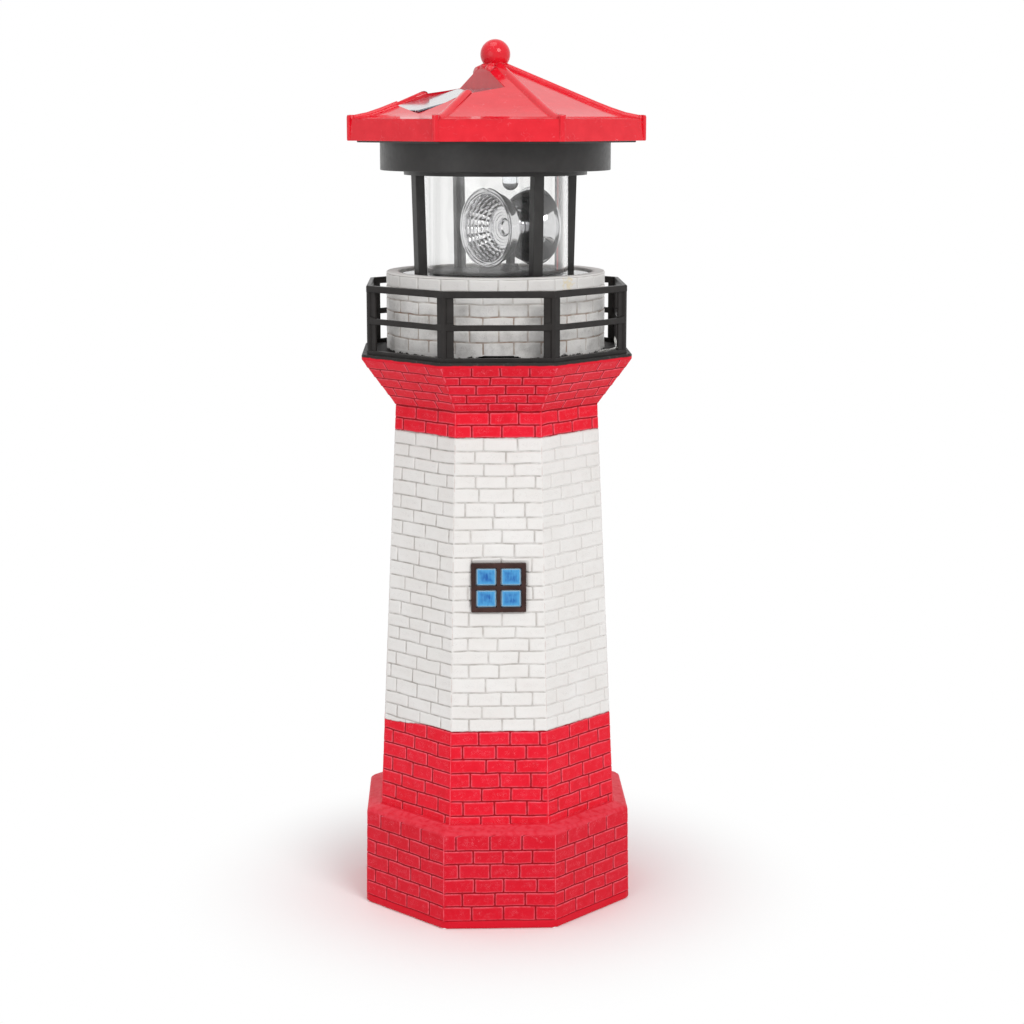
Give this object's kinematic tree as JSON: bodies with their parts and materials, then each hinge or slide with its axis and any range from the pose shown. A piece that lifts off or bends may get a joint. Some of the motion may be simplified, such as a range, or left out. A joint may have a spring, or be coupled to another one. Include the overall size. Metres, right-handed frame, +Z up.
{
  "type": "garden lighthouse ornament",
  "caption": "Red and white brick lighthouse ornament with an octagonal tower, gallery rail, solar panel in the roof and a lantern head that lifts off and holds a motor-driven turning reflector",
  "frame": {"origin": "centre of the plinth's underside, on the ground", "axes": "+Z up along the tower, -Y out of the front facet that carries the window, +X to the right seen from the front"},
  "size_m": [0.089, 0.089, 0.27],
  "materials": {
    "cast_resin": "painted cast resin, matt",
    "rail_plastic": "satin",
    "frame_brown": "satin paint",
    "pane_blue": "gloss",
    "black_abs": "satin",
    "screw_steel": "zinc plated",
    "cell_wrap": "gloss sleeve",
    "contact_steel": "nickel plated",
    "natural_plastic": "satin",
    "motor_steel": "bright",
    "clear_plastic": "polished",
    "board_green": "solder mask",
    "led_epoxy": "clear",
    "gloss_red": "gloss",
    "solar_glass": "clear resin over cells",
    "red_wire": "satin",
    "black_wire": "satin",
    "mirror_plating": "vacuum plated",
    "brass": "machined",
    "knob_white": "satin"
  },
  "bodies": {
    "tower": {"tower_casting": "cast_resin", "gallery_railing": "rail_plastic", "window_frame": "frame_brown", "window_panes": "pane_blue"},
    "rotor": {"reflector": "mirror_plating", "reflector_spindle": "black_abs"},
    "idler": {"idler_gear": "natural_plastic"},
    "pinion": {"motor_pinion": "brass", "motor_shaft": "screw_steel"},
    "switch_slider": {"switch_knob": "knob_white"},
    "head": {"base_cup": "black_abs", "base_cover": "black_abs", "cover_screws": "screw_steel", "battery": "cell_wrap", "battery_contacts": "contact_steel", "gear_plate": "natural_plastic", "plate_screws": "screw_steel", "drive_motor": "motor_steel", "idler_axle": "screw_steel", "switch_body": "motor_steel", "lantern_frame": "black_abs", "frame_screws": "screw_steel", "clear_tube": "clear_plastic", "lamp_housing": "black_abs", "housing_screws": "screw_steel", "circuit_board": "board_green", "lamp_led": "led_epoxy", "roof": "gloss_red", "solar_panel": "solar_glass", "red_lead": "red_wire", "black_lead": "black_wire"}
  },
  "joints": [
    {"name": "head_lift", "type": "slide", "parent": "tower", "child": "head", "axis": [0, 0, 1], "range_m": [0, 0.06]},
    {"name": "rotor_spin", "type": "hinge", "parent": "head", "child": "rotor", "pos_m": [0.0046, 0, 0.2], "axis": [0, 0, 1], "continuous": true},
    {"name": "idler_spin", "type": "hinge", "parent": "head", "child": "idler", "pos_m": [-0.00165, 0.01083, 0.194], "axis": [0, 0, 1], "continuous": true},
    {"name": "motor_spin", "type": "hinge", "parent": "head", "child": "pinion", "pos_m": [0.00916, 0.01476, 0.193], "axis": [0, 0, 1], "continuous": true},
    {"name": "switch_slide", "type": "slide", "parent": "head", "child": "switch_slider", "axis": [1, 0, 0], "range_m": [0, 0.002]}
  ],
  "couplings": [
    {"joint": "idler_spin", "follows": "rotor_spin", "ratio": -4},
    {"joint": "motor_spin", "follows": "rotor_spin", "ratio": 14.4}
  ]
}
